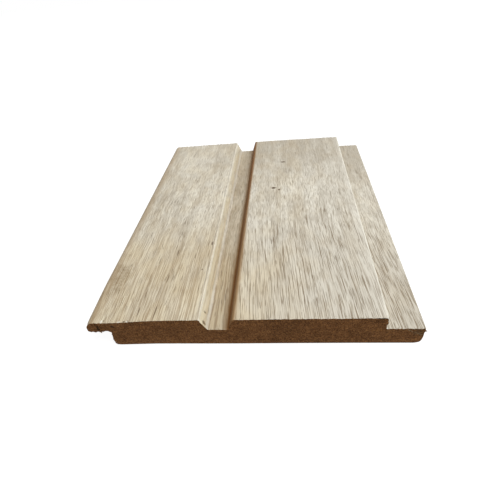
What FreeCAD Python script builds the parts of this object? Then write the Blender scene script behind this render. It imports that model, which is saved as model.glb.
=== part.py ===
"""A short length of double shiplap cladding board, moulded from one piece of timber.

Each long edge has a lap. The upper lap hangs over the next board, and the lower
lap goes under the one before it. A channel down the middle repeats the gap that
shows at a lapped joint, so one board looks like two narrow ones.

Frame: X across the board, Y along it, Z out of the wall. The origin is under the
middle of the board, on its flat back. All sizes are in millimetres.
"""
import FreeCAD, Part
import math
import os

# The stock
LENGTH = 170.0
WIDTH = 145.0
THICKNESS = 18.0

# The upper lap, on the left, and the rebate under it
UPPER_LAP_REACH = 10.8
UPPER_LAP_THICKNESS = 6.9
UPPER_LAP_TIP_ROUND = 1.2
REBATE_ROOT_ROUND = 0.4
REBATE_WALL_LEAN = 1.4
REBATE_FOOT_HEIGHT = 4.8
REBATE_KNEE_ROUND = 6.0
BACK_CORNER_ROUND = 2.2

# The nose, which is the weathered edge of the upper lap
NOSE_FLAT = 0.1
NOSE_RUN = 3.8

# The lower lap, on the right, under the next board's upper lap
LOWER_LAP_REACH = 15.8
LAP_CLEARANCE = 0.5
LOWER_LAP_TOP_ROUND = 0.5
LOWER_LAP_BACK_ROUND = 3.2
SHOULDER_ROOT_ROUND = 0.5
SHOULDER_ARRIS_ROUND = 0.5

# The channel
CHANNEL_START = 51.8
CHANNEL_DEPTH = 7.0
CHANNEL_FLOOR = 8.8
CHANNEL_LEFT_RUN = 2.9
CHANNEL_RIGHT_RUN = 2.7
CHANNEL_LEFT_ARRIS_ROUND = 0.4
CHANNEL_RIGHT_ARRIS_ROUND = 1.2
CHANNEL_ROOT_ROUND = 0.5

# Places that follow from the sizes above
LEFT = -WIDTH / 2
RIGHT = WIDTH / 2
UPPER_LAP_UNDERSIDE = THICKNESS - UPPER_LAP_THICKNESS
LOWER_LAP_TOP = UPPER_LAP_UNDERSIDE - LAP_CLEARANCE
NOSE_SPRING = UPPER_LAP_UNDERSIDE + UPPER_LAP_TIP_ROUND + NOSE_FLAT
NOSE_RISE = THICKNESS - NOSE_SPRING
NOSE_RADIUS = (NOSE_RISE ** 2 + NOSE_RUN ** 2) / (2 * NOSE_RUN)
REBATE_ROOT = LEFT + UPPER_LAP_REACH
REBATE_FOOT = REBATE_ROOT - REBATE_WALL_LEAN
SHOULDER = RIGHT - LOWER_LAP_REACH


def at(x, z):
    """A point of the section, which is drawn at the near end of the board."""
    return FreeCAD.Vector(x, -LENGTH / 2, z)


def corner(x, z, round_radius=0.0):
    """A corner of the section and the radius that rounds it."""
    return at(x, z), round_radius


def back_and_rebate():
    """From the lower lap's back corner, along the back, to the upper lap's tip.

    The rebate's wall stands upright at its foot, then leans away from the tip.
    """
    return [
        corner(RIGHT, 0, LOWER_LAP_BACK_ROUND),
        corner(REBATE_FOOT, 0, BACK_CORNER_ROUND),
        corner(REBATE_FOOT, REBATE_FOOT_HEIGHT, REBATE_KNEE_ROUND),
        corner(REBATE_ROOT, UPPER_LAP_UNDERSIDE, REBATE_ROOT_ROUND),
        corner(LEFT, UPPER_LAP_UNDERSIDE, UPPER_LAP_TIP_ROUND),
    ]


def channel():
    """The channel between the two faces, with a raked wall on each side."""
    floor = THICKNESS - CHANNEL_DEPTH
    left_top = LEFT + CHANNEL_START
    left_foot = left_top + CHANNEL_LEFT_RUN
    right_foot = left_foot + CHANNEL_FLOOR
    right_top = right_foot + CHANNEL_RIGHT_RUN
    return [
        corner(left_top, THICKNESS, CHANNEL_LEFT_ARRIS_ROUND),
        corner(left_foot, floor, CHANNEL_ROOT_ROUND),
        corner(right_foot, floor, CHANNEL_ROOT_ROUND),
        corner(right_top, THICKNESS, CHANNEL_RIGHT_ARRIS_ROUND),
    ]


def shoulder_and_lower_lap():
    """The shoulder that ends the face, and the lap that goes under the next board."""
    return [
        corner(SHOULDER, THICKNESS, SHOULDER_ARRIS_ROUND),
        corner(SHOULDER, LOWER_LAP_TOP, SHOULDER_ROOT_ROUND),
        corner(RIGHT, LOWER_LAP_TOP, LOWER_LAP_TOP_ROUND),
    ]


def rounding(before, here, after, radius):
    """The arc that rounds one corner: its start, middle and end, or None if it is sharp."""
    if radius <= 0:
        return None
    back = (before - here).normalize()
    onward = (after - here).normalize()
    half_angle = back.getAngle(onward) / 2
    tangent = radius / math.tan(half_angle)
    centre = here + (back + onward).normalize() * (radius / math.sin(half_angle))
    middle = centre + (here - centre).normalize() * radius
    return here + back * tangent, middle, here + onward * tangent


def nose_arc():
    """The nose: upright where it springs from the tip, leaning back as it meets the face."""
    centre = at(LEFT + NOSE_RADIUS, NOSE_SPRING)
    half_sweep = math.asin(NOSE_RISE / NOSE_RADIUS) / 2
    reach = NOSE_RADIUS * math.cos(half_sweep)
    lift = NOSE_RADIUS * math.sin(half_sweep)
    middle = centre + FreeCAD.Vector(-reach, 0, lift)
    return Part.Arc(at(LEFT, NOSE_SPRING), middle, at(LEFT + NOSE_RUN, THICKNESS)).toShape()


def section():
    """The whole section as one closed face, clockwise from where the nose springs."""
    start = at(LEFT + NOSE_RUN, THICKNESS)
    end = at(LEFT, NOSE_SPRING)
    corners = channel() + shoulder_and_lower_lap() + back_and_rebate()
    points = [start] + [point for point, radius in corners] + [end]
    edges = [nose_arc()]
    reached = start
    for number, (point, radius) in enumerate(corners, start=1):
        arc = rounding(points[number - 1], point, points[number + 1], radius)
        if arc is None:
            edges.append(Part.LineSegment(reached, point).toShape())
            reached = point
        else:
            arc_start, middle, arc_end = arc
            edges.append(Part.LineSegment(reached, arc_start).toShape())
            edges.append(Part.Arc(arc_start, middle, arc_end).toShape())
            reached = arc_end
    edges.append(Part.LineSegment(reached, end).toShape())
    return Part.Face(Part.Wire(edges))


def cladding_board():
    """The board: its section, moulded the whole length and sawn square at both ends."""
    return section().extrude(FreeCAD.Vector(0, LENGTH, 0))


os.makedirs("parts", exist_ok=True)
board = cladding_board()
board.exportStep("parts/cladding_board.step")

box = board.BoundBox
print(f"cladding_board: {box.XLength:.2f} x {box.YLength:.2f} x {box.ZLength:.2f} mm")
print(f"volume {board.Volume / 1000:.1f} cm3, valid {board.isValid()}, solids {len(board.Solids)}")
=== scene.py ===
# %% [markdown]
# A short length of shiplap cladding, seen from above its near sawn end.
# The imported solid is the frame: it gives the board's box and its axes. X runs
# across the board, Y along it and along the grain, and Z out of its face.
# The solid is straight, smooth and clean at both saw cuts. Real moulded timber has a
# slight cup, torn cuts and worn edges, so one new mesh of the same section stands
# for it.

# %% Load the frame
import math

import bmesh
import bpy
from mathutils import Matrix, Vector

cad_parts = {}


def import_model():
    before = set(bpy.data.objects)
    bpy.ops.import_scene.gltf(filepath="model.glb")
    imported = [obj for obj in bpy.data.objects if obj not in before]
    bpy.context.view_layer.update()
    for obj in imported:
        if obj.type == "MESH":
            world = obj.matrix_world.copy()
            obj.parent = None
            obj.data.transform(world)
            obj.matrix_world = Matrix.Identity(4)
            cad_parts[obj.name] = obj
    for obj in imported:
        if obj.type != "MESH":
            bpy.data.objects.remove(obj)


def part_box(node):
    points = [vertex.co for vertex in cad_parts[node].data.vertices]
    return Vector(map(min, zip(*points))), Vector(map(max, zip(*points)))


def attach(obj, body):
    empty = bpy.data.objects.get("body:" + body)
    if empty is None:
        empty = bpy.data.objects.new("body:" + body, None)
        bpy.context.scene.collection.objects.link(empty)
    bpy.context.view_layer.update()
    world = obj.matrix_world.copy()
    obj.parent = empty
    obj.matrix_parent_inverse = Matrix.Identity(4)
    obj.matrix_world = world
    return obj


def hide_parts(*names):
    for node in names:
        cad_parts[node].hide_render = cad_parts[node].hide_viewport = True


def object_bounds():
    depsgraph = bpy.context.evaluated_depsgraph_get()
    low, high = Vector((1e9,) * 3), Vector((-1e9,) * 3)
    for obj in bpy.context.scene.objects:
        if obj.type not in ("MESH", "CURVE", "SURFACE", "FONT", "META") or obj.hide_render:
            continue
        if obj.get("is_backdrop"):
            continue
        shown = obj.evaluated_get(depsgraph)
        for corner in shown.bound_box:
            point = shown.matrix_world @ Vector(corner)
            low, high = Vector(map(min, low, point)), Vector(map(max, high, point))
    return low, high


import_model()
cad_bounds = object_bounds()

NODE = "cladding_board"
BODY = "root"
MM, CM = 0.001, 0.01
low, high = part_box(NODE)
LEFT, RIGHT = low.x, high.x
NEAR, FAR = low.y, high.y
TOP = high.z
print(f"frame: {(RIGHT - LEFT) / MM:.1f} wide, {(FAR - NEAR) / MM:.1f} long, {TOP / MM:.1f} mm thick")

# %% [markdown]
# The camera comes first, because it decides how fine the mesh has to be. The
# photograph looks down the board from close by, so the far end is much narrower
# than the near one. The camera's place, its three turns and its lens are those at
# which the board's corners land where the photograph has them. The lens's centre
# isn't quite the middle of the picture, so the lens is shifted a little.

# %% The camera
CAMERA_PLACE = Vector((18.67, -163.26, 127.15)) * MM
LOOK_DOWN = math.radians(43.21)
LOOK_ASIDE = math.radians(7.44)
LEAN = math.radians(-6.92)
PICTURE = 500.0
FOCAL = 324.67
LENS_CENTRE_X, LENS_CENTRE_Y = 260.10, 257.94
SENSOR = 36.0
NEAREST_SEEN = 10 * MM


def photo_camera():
    data = bpy.data.cameras.new("photo_camera")
    data.sensor_width = SENSOR
    data.lens = FOCAL / PICTURE * SENSOR
    data.shift_x = (PICTURE / 2 - LENS_CENTRE_X) / PICTURE
    data.shift_y = (LENS_CENTRE_Y - PICTURE / 2) / PICTURE
    data.clip_start = NEAREST_SEEN
    camera = bpy.data.objects.new("photo_camera", data)
    tilt = Matrix.Rotation(math.pi / 2 - LOOK_DOWN, 4, "X")
    turn = Matrix.Rotation(LOOK_ASIDE, 4, "Z") @ tilt @ Matrix.Rotation(LEAN, 4, "Z")
    camera.matrix_world = Matrix.Translation(CAMERA_PLACE) @ turn
    bpy.context.scene.collection.objects.link(camera)
    bpy.context.scene.camera = camera
    return camera


camera = photo_camera()
print(f"camera: {camera.data.lens:.2f} mm lens, {CAMERA_PLACE.z / MM:.0f} mm above the back")

# %% [markdown]
# The section is drawn from the same sizes as the solid, so the new mesh lies on it.
# Only the ways in which worn wood differs are added later. Each corner is given by
# its place and by the radius that rounds it.

# %% The section's sizes
UPPER_LAP_REACH = 10.8 * MM
UPPER_LAP_THICKNESS = 6.9 * MM
UPPER_LAP_TIP_ROUND = 1.2 * MM
REBATE_WALL_LEAN = 1.4 * MM
REBATE_FOOT_HEIGHT = 4.8 * MM
LOWER_LAP_REACH = 15.8 * MM
LAP_CLEARANCE = 0.5 * MM
NOSE_FLAT = 0.1 * MM
NOSE_RUN = 3.8 * MM
CHANNEL_START = 51.8 * MM
CHANNEL_DEPTH = 7.0 * MM
CHANNEL_FLOOR = 8.8 * MM
CHANNEL_LEFT_RUN = 2.9 * MM
CHANNEL_RIGHT_RUN = 2.7 * MM

# %% Places that follow from the sizes
UPPER_LAP_UNDERSIDE = TOP - UPPER_LAP_THICKNESS
LOWER_LAP_TOP = UPPER_LAP_UNDERSIDE - LAP_CLEARANCE
REBATE_ROOT = LEFT + UPPER_LAP_REACH
REBATE_FOOT = REBATE_ROOT - REBATE_WALL_LEAN
SHOULDER = RIGHT - LOWER_LAP_REACH
NOSE_SPRING = UPPER_LAP_UNDERSIDE + UPPER_LAP_TIP_ROUND + NOSE_FLAT
NOSE_RISE = TOP - NOSE_SPRING
NOSE_RADIUS = (NOSE_RISE ** 2 + NOSE_RUN ** 2) / (2 * NOSE_RUN)
FLOOR_HEIGHT = TOP - CHANNEL_DEPTH
SLOPE_TOP = LEFT + CHANNEL_START
SLOPE_FOOT = SLOPE_TOP + CHANNEL_LEFT_RUN
WALL_FOOT = SLOPE_FOOT + CHANNEL_FLOOR
WALL_TOP = WALL_FOOT + CHANNEL_RIGHT_RUN

CORNERS = [
    (SLOPE_TOP, TOP, 0.4 * MM),
    (SLOPE_FOOT, FLOOR_HEIGHT, 0.5 * MM),
    (WALL_FOOT, FLOOR_HEIGHT, 0.5 * MM),
    (WALL_TOP, TOP, 1.2 * MM),
    (SHOULDER, TOP, 0.5 * MM),
    (SHOULDER, LOWER_LAP_TOP, 0.5 * MM),
    (RIGHT, LOWER_LAP_TOP, 0.5 * MM),
    (RIGHT, 0.0, 3.2 * MM),
    (REBATE_FOOT, 0.0, 2.2 * MM),
    (REBATE_FOOT, REBATE_FOOT_HEIGHT, 6.0 * MM),
    (REBATE_ROOT, UPPER_LAP_UNDERSIDE, 0.4 * MM),
    (LEFT, UPPER_LAP_UNDERSIDE, UPPER_LAP_TIP_ROUND),
]
print(f"section: {len(CORNERS)} corners and a nose of {NOSE_RADIUS / MM:.1f} mm radius")

# %% [markdown]
# Operators act on whatever is selected, and the loaded nodes come in selected. So
# everything is deselected first, and later each step picks its vertices, edges or
# faces by a test of their place or normal.

# %% Helpers for picking in edit mode
NEARLY = 0.01 * MM


def pick(piece, kind, test):
    """Selects only the vertices, edges or faces of a piece in edit mode that pass a test."""
    bpy.ops.mesh.select_mode(type=kind)
    bpy.ops.mesh.select_all(action="DESELECT")
    mesh = bmesh.from_edit_mesh(piece.data)
    everything = {"VERT": mesh.verts, "EDGE": mesh.edges, "FACE": mesh.faces}[kind]
    chosen = [item for item in everything if test(item)]
    for item in chosen:
        item.select_set(True)
    mesh.select_flush_mode()
    bmesh.update_edit_mesh(piece.data)
    return len(chosen)


def pick_all(kind="VERT"):
    bpy.ops.mesh.select_mode(type=kind)
    bpy.ops.mesh.select_all(action="SELECT")


def near_end_point(x, z):
    return Vector((x, NEAR, z))


# %% [markdown]
# The outline starts as a small plane merged to one vertex, where the nose springs
# from its flat. The vertex is spun up the nose's arc, then extruded from corner to
# corner round the section, and the loop is closed and filled. Working like this
# gives clean corners at exact places, which tracing by eye wouldn't.

# %% Trace the section
NOSE_STEPS = 14


def start_vertex(name, place):
    bpy.ops.object.select_all(action="DESELECT")
    bpy.ops.mesh.primitive_plane_add(size=MM, location=place)
    piece = bpy.context.object
    piece.name = name
    piece.data.name = name
    bpy.ops.object.transform_apply(location=True)
    bpy.ops.object.mode_set(mode="EDIT")
    pick_all()
    bpy.ops.mesh.merge(type="CENTER")
    return piece


def trace_section():
    piece = start_vertex("board", near_end_point(LEFT, NOSE_SPRING))
    sweep = math.asin(NOSE_RISE / NOSE_RADIUS)
    centre = near_end_point(LEFT + NOSE_RADIUS, NOSE_SPRING)
    bpy.ops.mesh.spin(steps=NOSE_STEPS, angle=-sweep, center=centre, axis=(0, 1, 0))
    reached = near_end_point(LEFT + NOSE_RUN, TOP)
    for x, z, rounding in CORNERS:
        corner = near_end_point(x, z)
        bpy.ops.mesh.extrude_region_move(TRANSFORM_OT_translate={"value": corner - reached})
        reached = corner
    pick_all()
    bpy.ops.mesh.edge_face_add()
    return piece


board = trace_section()
print(f"outline: {len(bmesh.from_edit_mesh(board.data).verts)} vertices")

# %% [markdown]
# No machined or handled corner is perfectly sharp, and the small roundings are what
# catches the light along the arrises. A vertex bevel rounds each corner. Its offset
# is measured along the edges, so the radius is turned into a tangent length first.

# %% Round the corners
ROUNDING_STEPS = 6


def round_corners(piece):
    points = [near_end_point(x, z) for x, z, rounding in CORNERS]
    before = [near_end_point(LEFT + NOSE_RUN, TOP)] + points[:-1]
    after = points[1:] + [near_end_point(LEFT, NOSE_SPRING)]
    for number, (x, z, radius) in enumerate(CORNERS):
        point = points[number]
        half_angle = (before[number] - point).angle(after[number] - point) / 2
        pick(piece, "VERT", lambda vertex: (vertex.co - point).length < NEARLY)
        bpy.ops.mesh.bevel(
            offset=radius / math.tan(half_angle), segments=ROUNDING_STEPS, affect="VERTICES"
        )


def face_area(piece):
    return sum(face.calc_area() for face in bmesh.from_edit_mesh(piece.data).faces)


round_corners(board)
print(f"section area: {face_area(board) / MM ** 2:.0f} mm2")

# %% [markdown]
# The sawn end is a felt of torn fibres, so it needs vertices inside it, not one big
# face. Bisect cuts the section with upright planes and then level ones. The planes
# through the channel's corners come first, so that its edges stay crisp.

# %% Cut the section into a grid
GRID = 0.5 * MM


def cut(place, normal):
    pick_all()
    bpy.ops.mesh.bisect(plane_co=place, plane_no=normal, threshold=NEARLY)


def cut_grid():
    for x in (SLOPE_TOP, SLOPE_FOOT, WALL_FOOT, WALL_TOP, SHOULDER, REBATE_ROOT):
        cut((x, 0, 0), (1, 0, 0))
    for column in range(1, round((RIGHT - LEFT) / GRID)):
        cut((LEFT + column * GRID, 0, 0), (1, 0, 0))
    for level in range(1, round(TOP / GRID)):
        cut((0, 0, level * GRID), (0, 0, 1))


cut_grid()
print(f"sawn end: {len(bmesh.from_edit_mesh(board.data).faces)} faces")

# %% [markdown]
# The section is drawn out along the grain. The rows are close together by the two
# saw cuts, where the edges are ragged, and further apart between them. The long
# middle stretch is one extrusion whose edges are then subdivided.

# %% Extrude the length
CUT_ROW = 0.3 * MM
NEAR_ROWS = 8
FAR_ROWS = 5
LONG_ROW = 2.0 * MM


def draw_out(piece):
    middle = FAR - NEAR - (NEAR_ROWS + FAR_ROWS) * CUT_ROW
    pick_all("FACE")
    bpy.ops.mesh.extrude_repeat(steps=NEAR_ROWS, offset=(0, CUT_ROW, 0))
    bpy.ops.mesh.extrude_repeat(steps=1, offset=(0, middle, 0))
    bpy.ops.mesh.extrude_repeat(steps=FAR_ROWS, offset=(0, CUT_ROW, 0))
    pick(piece, "EDGE", lambda edge: edge.calc_length() > middle / 2)
    bpy.ops.mesh.subdivide(number_cuts=round(middle / LONG_ROW) - 1)
    pick_all("FACE")
    bpy.ops.mesh.normals_make_consistent(inside=False)


draw_out(board)
solid_mesh = bmesh.from_edit_mesh(board.data)
loose = sum(not edge.is_manifold for edge in solid_mesh.edges)
volume = solid_mesh.calc_volume() / CM ** 3
print(f"board: {len(solid_mesh.faces)} faces, {loose} open edges, {volume:.1f} cm3")

# %% [markdown]
# Each surface gets its material by its place and the way it faces, while the mesh is
# still exact. The sawn ends are one. The back, the rebate and the lower lap's edge are
# another, and the weathered face, with the channel, nose and lap, is the third.

# %% Give each surface its slot
FACE, END, BACK = range(3)
FACING_ALONG, FACING_DOWN = 0.7, -0.2
LAP_EDGE_WIDTH, LAP_EDGE_DROP = 2 * MM, MM


def is_end(face):
    return abs(face.normal.y) > FACING_ALONG


def is_back(face):
    middle = face.calc_center_median()
    under = face.normal.z < FACING_DOWN
    in_rebate = middle.z < UPPER_LAP_UNDERSIDE and middle.x < REBATE_ROOT + NEARLY
    lap_edge = middle.x > RIGHT - LAP_EDGE_WIDTH and middle.z < LOWER_LAP_TOP - LAP_EDGE_DROP
    return under or in_rebate or lap_edge


def set_slots(piece):
    mesh = bmesh.from_edit_mesh(piece.data)
    for face in mesh.faces:
        face.material_index = FACE
        if is_back(face):
            face.material_index = BACK
        if is_end(face):
            face.material_index = END
    bmesh.update_edit_mesh(piece.data)


for name in ("weathered_face", "sawn_end", "planed_back"):
    material = bpy.data.materials.new(name)
    material.use_nodes = True
    board.data.materials.append(material)
set_slots(board)
print("slots:", [slot.material.name for slot in board.material_slots])

# %% [markdown]
# The photograph shows the face's near edge as a shallow arch: the board has cupped a
# little as it dried. Proportional editing lifts the middle line of vertices and lets
# the lift fall off to nothing at both edges. The inverse square falloff is a parabola.

# %% Cup the board
CUP = 0.38 * MM


def cup(piece):
    pick(piece, "VERT", lambda vertex: abs(vertex.co.x) < NEARLY)
    bpy.ops.transform.translate(
        value=(0, 0, CUP),
        use_proportional_edit=True,
        proportional_edit_falloff="INVERSE_SQUARE",
        proportional_size=RIGHT,
    )


cup(board)
tops = [vertex.co.z for vertex in bmesh.from_edit_mesh(board.data).verts]
print(f"cup: the face now reaches {max(tops) / MM:.2f} mm")

# %% [markdown]
# The saw has torn the near end. The nose, the shoulder and the bottom edge have lost
# the most, the left corner has sunk a little, and a few fibres hang loose. Each of
# these is moved one by one: the nearest vertex is picked and moved, and proportional
# editing takes its neighbours along by less. Each entry is a place, a move and a
# reach in millimetres, with CUT for the Y of the near saw cut. A small reach makes a
# splinter, and a large one bends the whole corner.

# %% Wear the near end one by one
BOTTOM_EASE = 0.12 * MM
EASE_REACH = 3 * BOTTOM_EASE


def move_soft(move, reach):
    bpy.ops.transform.translate(
        value=move,
        use_proportional_edit=True,
        proportional_edit_falloff="SMOOTH",
        proportional_size=reach,
    )


def push(piece, place, move, reach):
    """Moves the vertices nearest to a place, and those around them by less."""
    target = Vector(place) * MM
    vertices = bmesh.from_edit_mesh(piece.data).verts
    centre = min(vertices, key=lambda vertex: (vertex.co - target).length).co.copy()
    pick(piece, "VERT", lambda vertex: (vertex.co - centre).length < NEARLY)
    move_soft(Vector(move) * MM, reach * MM)


def ease_bottom(piece):
    """Rounds the near end's bottom edge, where the saw came out."""
    pick(piece, "VERT", lambda vertex: vertex.co.y < NEAR + NEARLY and vertex.co.z < GRID)
    move_soft((0, BOTTOM_EASE, BOTTOM_EASE), EASE_REACH)


CUT = NEAR / MM
NEAR_WEAR = {
    "raised back": ((-50, CUT, 0), (0, 0, 0.5), 45),
    "sunken corner": ((-62, CUT, 18), (0, 0, -1.1), 28),
    "nose brow": ((-71.2, CUT, 16.2), (0.55, 0, 0), 3.5),
    "nose tip": ((-72.5, CUT, 12.6), (0.4, 0.1, 0), 3.0),
    "first dent under the tip": ((-70.1, CUT, 11.1), (0, 0, 0.45), 0.9),
    "bead under the tip": ((-68.9, CUT, 11.1), (0, 0, -0.4), 1.3),
    "second dent under the tip": ((-67.3, CUT, 11.1), (0, 0, 0.35), 0.8),
    "hollow by the rebate's root": ((-63.8, CUT, 11.1), (0, 0, 0.5), 2.2),
    "slope arris": ((-20.4, CUT, 18), (0.35, 0, 0), 1.4),
    "shoulder arris": ((56.7, CUT, 17.8), (-0.35, 0, -0.2), 1.0),
    "shoulder belly": ((56.7, CUT, 14.8), (0.2, 0, 0), 1.8),
    "pit in the slope": ((-19.2, CUT + 1.5, 14.3), (-0.4, 0, -0.4), 0.6),
    "splinter under the tip": ((-66.5, CUT, 11.1), (0.1, 0.2, -1.3), 0.3),
    "splinter at the lap's edge": ((72.5, CUT, 9.2), (1.0, -0.1, -0.1), 0.45),
}
ease_bottom(board)
for place, move, reach in NEAR_WEAR.values():
    push(board, place, move, reach)
print("near end:", ", ".join(NEAR_WEAR))

# %% [markdown]
# A drying crack runs up through the nose from its underside. It is thinner than the
# grid, so the faces along it are subdivided first. Then the vertices on its line are
# pushed into the board, which leaves a narrow cleft.

# %% Open the crack in the nose
CRACK_TOP = Vector((-66.9 * MM, 0.0, 16.9 * MM))
CRACK_FOOT = Vector((-66.1 * MM, 0.0, 11.2 * MM))
CRACK_BEND = 0.25 * MM
CRACK_DEPTH = 1.1 * MM
CRACK_HALF_WIDTH = 0.13 * MM
BY_THE_CUT = 0.25 * MM
BESIDE, BESIDE_CUTS = 0.7 * MM, 2


def off_crack(place):
    """How far a place on the end lies from the crack's line, seen square on."""
    flat = Vector((place.x, 0.0, place.z))
    run = CRACK_FOOT - CRACK_TOP
    along = min(max((flat - CRACK_TOP).dot(run) / run.length_squared, 0.0), 1.0)
    bend = CRACK_BEND * math.sin(along * 2 * math.pi)
    return (flat - CRACK_TOP - run * along - Vector((bend, 0.0, 0.0))).length


def open_crack(piece):
    def beside(face):
        middle = face.calc_center_median()
        return is_end(face) and middle.y < NEAR + MM and off_crack(middle) < BESIDE

    def on_line(vertex):
        return vertex.co.y < NEAR + BY_THE_CUT and off_crack(vertex.co) < CRACK_HALF_WIDTH

    pick(piece, "FACE", beside)
    bpy.ops.mesh.subdivide(number_cuts=BESIDE_CUTS)
    count = pick(piece, "VERT", on_line)
    bpy.ops.transform.translate(value=(0, CRACK_DEPTH, 0))
    return count


print(f"crack: {open_crack(board)} vertices pushed in")

# %% [markdown]
# The rest of the raggedness is too fine to do by hand. Displace modifiers move the
# vertices by a cloud texture, and a vertex group limits them to the rows by the two
# saw cuts. One works along the board, which roughens the cut, and one along the
# normals, which nibbles the arrises. Each has a cloud size, a strength and the grey
# at which a vertex stays where it is. Both are applied, so the mesh keeps their shape.

# %% Tear the saw cuts
TORN_DEPTH, ARRIS_DEPTH = 2.2 * MM, 0.75 * MM
BACK_KEPT = 8.0 * MM
TORN_CUT, TORN_ARRIS = (1.1 * MM, 0.45 * MM, 0.5), (0.7 * MM, 0.8 * MM, 0.66)
CLOUD_DETAIL = 2
SMOOTH_BELOW = math.radians(35)


def from_cut(vertex):
    return min(vertex.co.y - NEAR, FAR - vertex.co.y)


def weight_group(piece, name, depth):
    """A vertex group that is full at the saw cuts. It fades with depth and by the back."""
    group = piece.vertex_groups.new(name=name)
    for vertex in piece.data.vertices:
        off_back = min(vertex.co.z / BACK_KEPT, 1.0)
        weight = (1 - max(from_cut(vertex), 0.0) / depth) * off_back
        if weight > 0:
            group.add([vertex.index], weight, "REPLACE")


def tear(piece, group, direction, size, strength, middle):
    texture = bpy.data.textures.new("torn_" + group, "CLOUDS")
    texture.noise_scale = size
    texture.noise_depth = CLOUD_DETAIL
    modifier = piece.modifiers.new("tear_" + group, "DISPLACE")
    modifier.texture = texture
    modifier.texture_coords = "LOCAL"
    modifier.direction = direction
    modifier.vertex_group = group
    modifier.strength = strength
    modifier.mid_level = middle
    bpy.ops.object.modifier_apply(modifier=modifier.name)


bpy.ops.object.mode_set(mode="OBJECT")
weight_group(board, "cut", TORN_DEPTH)
weight_group(board, "arris", ARRIS_DEPTH)
tear(board, "cut", "Y", *TORN_CUT)
tear(board, "arris", "NORMAL", *TORN_ARRIS)
bpy.ops.object.shade_smooth_by_angle(angle=SMOOTH_BELOW)
print(f"torn mesh: {len(board.data.polygons)} faces")

# %% [markdown]
# Each finish is a tree of shader nodes. In the node editor a person adds them and
# joins them by hand. In code each one takes a few lines, so those that are needed
# again and again get a helper. It takes outputs or plain values, joins or sets them,
# and gives back the new node's output, so that a finish reads like a sum.

# %% Helpers for shader nodes
MIX_A, MIX_B, MIX_RESULT = 6, 7, 2


def srgb(red, green, blue):
    """A colour as it is read off a screen, from 0 to 255, in the linear form nodes use.

    The numbers are those of the standard curve that screens follow.
    """
    parts = [value / 255 for value in (red, green, blue)]
    return tuple(((p + 0.055) / 1.055) ** 2.4 if p > 0.04045 else p / 12.92 for p in parts) + (1.0,)


def feed(tree, socket, value):
    """Joins a socket to an output, or sets it where the value is a plain one."""
    if isinstance(value, bpy.types.NodeSocket):
        tree.links.new(value, socket)
    else:
        socket.default_value = value


def maths(tree, kind, operation, values):
    node = tree.nodes.new(kind)
    node.operation = operation
    for socket, value in zip(node.inputs, values):
        feed(tree, socket, value)
    return node


def calc(tree, operation, *values):
    return maths(tree, "ShaderNodeMath", operation, values).outputs[0]


def calc_vector(tree, operation, *values):
    return maths(tree, "ShaderNodeVectorMath", operation, values).outputs[0]


def add(tree, first, *others):
    total = first
    for other in others:
        total = calc(tree, "ADD", total, other)
    return total


def times(tree, first, *others):
    product = first
    for other in others:
        product = calc(tree, "MULTIPLY", product, other)
    return product


print(f"helpers: a mid grey of 128 is {srgb(128, 128, 128)[0]:.3f} in linear light")

# %% [markdown]
# The most used of them is a smooth fade from one value to another, made with a Map
# Range node. On a coordinate it makes a mask, such as the near half of the board. On
# a mask it makes a level, such as how deep the pores are inside that half.

# %% Helpers for masks and colours
NOISE_SPREAD, NOISE_CENTRE = (0.35, 0.65), 0.5
PLAIN_DETAIL, RICH_DETAIL = 1.0, 3.0


def fade(tree, value, start, end, from_mask=0.0, to_mask=1.0):
    """A mask that goes smoothly from one value to another as its input goes from start to end."""
    node = tree.nodes.new("ShaderNodeMapRange")
    node.interpolation_type = "SMOOTHSTEP"
    for socket, given in zip(node.inputs, (value, start, end, from_mask, to_mask)):
        feed(tree, socket, given)
    return node.outputs[0]


def level(tree, mask, outside, inside):
    """A number that has one value outside a mask and another inside it."""
    return fade(tree, mask, 0.0, 1.0, outside, inside)


def noise(tree, vector, scale=1.0, detail=2.0, roughness=0.5):
    node = tree.nodes.new("ShaderNodeTexNoise")
    feed(tree, node.inputs["Vector"], vector)
    node.inputs["Scale"].default_value = scale
    node.inputs["Detail"].default_value = detail
    node.inputs["Roughness"].default_value = roughness
    return node.outputs["Fac"]


def centred(tree, value):
    """Noise moved down by its mean, so that it swings to both sides of nothing."""
    return calc(tree, "SUBTRACT", value, NOISE_CENTRE)


def cloud(tree, place, size, detail):
    """Noise whose clouds have a size in millimetres along each axis."""
    return noise(tree, calc_vector(tree, "DIVIDE", place, size), detail=detail)


def split(tree, vector):
    node = tree.nodes.new("ShaderNodeSeparateXYZ")
    feed(tree, node.inputs[0], vector)
    return node.outputs["X"], node.outputs["Y"], node.outputs["Z"]


def combine(tree, x, y, z):
    node = tree.nodes.new("ShaderNodeCombineXYZ")
    for socket, value in zip(node.inputs, (x, y, z)):
        feed(tree, socket, value)
    return node.outputs[0]


def mix(tree, mask, first, second, mode="MIX"):
    node = tree.nodes.new("ShaderNodeMix")
    node.data_type = "RGBA"
    node.blend_type = mode
    feed(tree, node.inputs[0], mask)
    feed(tree, node.inputs[MIX_A], first)
    feed(tree, node.inputs[MIX_B], second)
    return node.outputs[MIX_RESULT]


print(f"helpers: noise is read between {NOISE_SPREAD[0]} and {NOISE_SPREAD[1]}, where most of it lies")

# %% [markdown]
# What the three surfaces share is made once as a node group with named inputs and
# outputs, and placed in each material with its own values. A group puts out masks,
# values and vectors only. The shader stays in the material, where the export can
# read it.

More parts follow.
